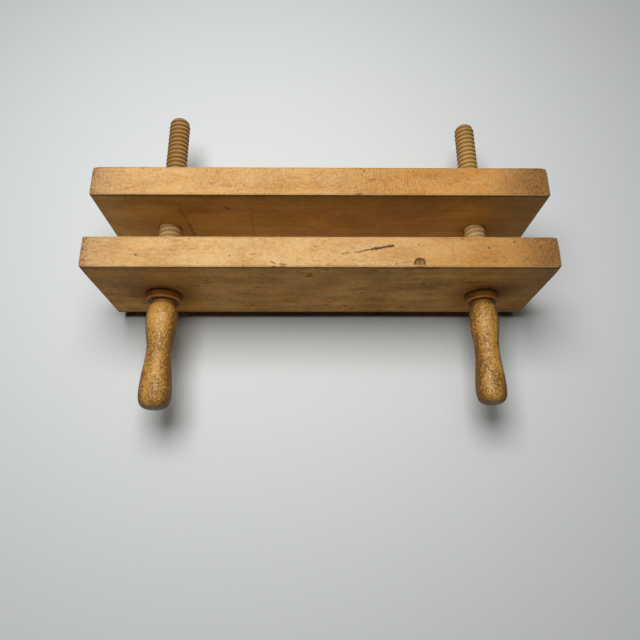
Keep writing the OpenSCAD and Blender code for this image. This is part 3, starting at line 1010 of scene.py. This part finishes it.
def add_cheek(cheek, knocks, cutters, radii, strokes, knots):
    """Makes a cheek's blank, bores it, finishes it and puts it into the scene."""
    mesh = bored(cheek_blank(cheek, knocks), cutters)
    set_attribute(mesh, "arris", arris_closeness(mesh, cheek))
    finish = oiled_cheek(cheek, radii, strokes, knots)
    side = cheek.side
    add_piece(
        f"{side}_board", mesh, finish, f"{side}_jaw", f"{side}_cheek", BOARD_SHARP_DEGREES)


front_knocks = (
    corner_knock(FRONT, right=-1, back=-1, depth=0.3),
    corner_knock(FRONT, right=1, back=-1, depth=0.5),
    corner_knock(FRONT, right=1, back=1, depth=0.4),
    arris_nick(FRONT, x=-45, length=5, depth=0.7),
    arris_nick(FRONT, x=-36, length=6, depth=0.8),
    arris_nick(FRONT, x=93.6, length=7, depth=0.5),
)
rear_knocks = (
    corner_knock(REAR, right=-1, back=1, depth=0.4),
    corner_knock(REAR, right=1, back=1, depth=0.7),
    arris_nick(REAR, x=38.2, length=5, depth=0.6),
)
long_scratch = (
    ((20, 14), (26, 14.6), 0.6, 0.55),
    ((33, 15), (37, 15.4), 0.9, 0.6),
    ((37, 16), (49, 19), 0.8, 0.85),
    ((48, 18.8), (60, 20.6), 1.3, 0.95),
    ((58, 20.2), (69, 22.2), 1.35, 0.95),
)
front_pits = (
    ((-175.7, 12), (-175.4, 12), 0.9, 0.9),
    ((186.1, 26.5), (186.4, 26.7), 1, 0.9),
    ((160.5, 20), (160.9, 20), 1.1, 0.8),
    ((71, 3.4), (71.4, 3.4), 0.9, 0.8),
    ((136, 29.5), (136.4, 29.5), 0.8, 0.7),
)
front_scores = (
    ((-47.5, 6), (-42.7, 2.4), 0.6, 0.7),
    ((-39, 3), (-33.3, 2.6), 0.8, 0.7),
    ((-67, 12.8), (-63, 13.6), 0.6, 0.5),
)
front_strokes = top_strokes(FRONT, long_scratch + front_pits + front_scores)
front_knots = ((top_place(FRONT, 93.6, 4), 5.4 * MM),)
rear_strokes = top_strokes(REAR, (
    ((43.9, 27.7), (44.1, 27.7), 1.1, 0.9),
    ((50, 16.5), (54, 18), 1.5, 0.4),
    ((36.5, 1), (39.8, 1.2), 1, 0.8),
)) + [
    inner_stroke((-145.4, 120), (-142.4, 82), 1.5, 0.3),
    inner_stroke((-142.4, 82), (-140.4, 56), 1.7, 0.45),
    inner_stroke((-73.8, 104.5), (-73.1, 56.6), 1.4, 0.2),
    inner_stroke((-97.2, 116), (-96.8, 112), 1.5, 0.75),
    inner_stroke((-104, 112), (-93, 112.5), 0.9, 0.3),
]

front_cutters = [cutter(spindle) for spindle in SPINDLES for cutter in (shank_cutter, peg_cutter)]
collar_radii = [np.ptp(box_of(f"{spindle.side}_screw"), axis=0)[0] / 2 for spindle in SPINDLES]
add_cheek(FRONT, front_knocks, front_cutters, collar_radii, front_strokes, front_knots)

rear_cutters = [threaded_cutter(spindle) for spindle in SPINDLES]
hole_radii = [spindle.screw + THREAD_CLEARANCE for spindle in SPINDLES]
add_cheek(REAR, rear_knocks, rear_cutters, hole_radii, rear_strokes, ())

for seed, spindle in enumerate(SPINDLES):
    side, body = spindle.side, f"{spindle.side}_spindle"
    rod, handle = screw_skin(spindle), grip_skin(spindle, seed)
    add_piece(
        f"{side}_threaded_rod", rod, waxed_screw(spindle), body, f"{side}_screw",
        TURNED_SHARP_DEGREES)
    add_piece(
        f"{side}_turned_handle", handle, varnished_grip(spindle), body, f"{side}_grip",
        TURNED_SHARP_DEGREES)
    peg = frame["nodes"][f"{side}_garter_peg"]
    peg.data.materials.clear()
    peg.data.materials.append(trimmed_peg(spindle))


# Floor, light and camera

FLOOR_PALE = (0.793, 0.824, 0.814, 1)
FLOOR_ROUGHNESS = 0.9
FLOOR_HALF = 3.0


def stage_floor():
    """A plain pale floor, far wider than the view."""
    floor_paint = bpy.data.materials.new("pale_floor")
    floor_paint.use_nodes = True
    tree = floor_paint.node_tree
    feed(tree, tree.nodes["Principled BSDF"], {"Base Color": FLOOR_PALE, "Roughness": FLOOR_ROUGHNESS})
    corners = [(x * FLOOR_HALF, y * FLOOR_HALF, 0) for x, y in ((-1, -1), (1, -1), (1, 1), (-1, 1))]
    mesh = bpy.data.meshes.new("floor")
    mesh.from_pydata(corners, [], [(0, 1, 2, 3)])
    mesh.materials.append(floor_paint)
    floor = add_object("floor", mesh)


def soft_light(name, place, target, size, power):
    """A square soft light at a place, facing a target."""
    data = bpy.data.lights.new(name, "AREA")
    data.size = size
    data.energy = power
    light = add_object(name, data)
    light.location = place
    light.rotation_euler = (Vector(target) - Vector(place)).to_track_quat("-Z", "Y").to_euler()


def room_light():
    """A wide lamp above the press, a ceiling glow over it, and a little light from all around."""
    soft_light("lamp", place=(-0.12, 0.105, 0.95), target=(-0.12, 0.105, 0), size=0.5, power=7.9)
    soft_light("ceiling", place=(0, 0.3, 1.6), target=(0, 0, 0), size=1.4, power=4)
    around = 0.05
    world = bpy.data.worlds.new("room")
    world.use_nodes = True
    world.node_tree.nodes["Background"].inputs["Strength"].default_value = around
    bpy.context.scene.world = world
    bpy.context.scene.view_settings.view_transform = "Standard"


def photo_camera():
    """The camera that fits the photograph's board corners: its place, how far it looks down, turns and rolls,
    and its focal length in pixels of a picture 640 pixels wide."""
    place = np.array([-7.3, -283, 632.9]) * MM
    pitch, yaw, roll = np.radians([70.07, 1.9, -1.8])
    focal_pixels, picture_pixels = 575.7, 640
    forward = np.array([np.sin(yaw) * np.cos(pitch), np.cos(yaw) * np.cos(pitch), -np.sin(pitch)])
    level = np.array([np.cos(yaw), -np.sin(yaw), 0])
    steep = np.cross(forward, level)
    right = np.cos(roll) * level + np.sin(roll) * steep
    down = np.cos(roll) * steep - np.sin(roll) * level
    data = bpy.data.cameras.new("camera")
    data.sensor_width = 36
    data.lens = data.sensor_width * focal_pixels / picture_pixels
    data.clip_start = 0.01
    camera = add_object("camera", data)
    turned = np.eye(4)
    turned[:3] = np.stack([right, -down, -forward, place], 1)
    camera.matrix_world = Matrix(turned.tolist())
    bpy.context.scene.camera = camera


stage_floor()
room_light()
photo_camera()
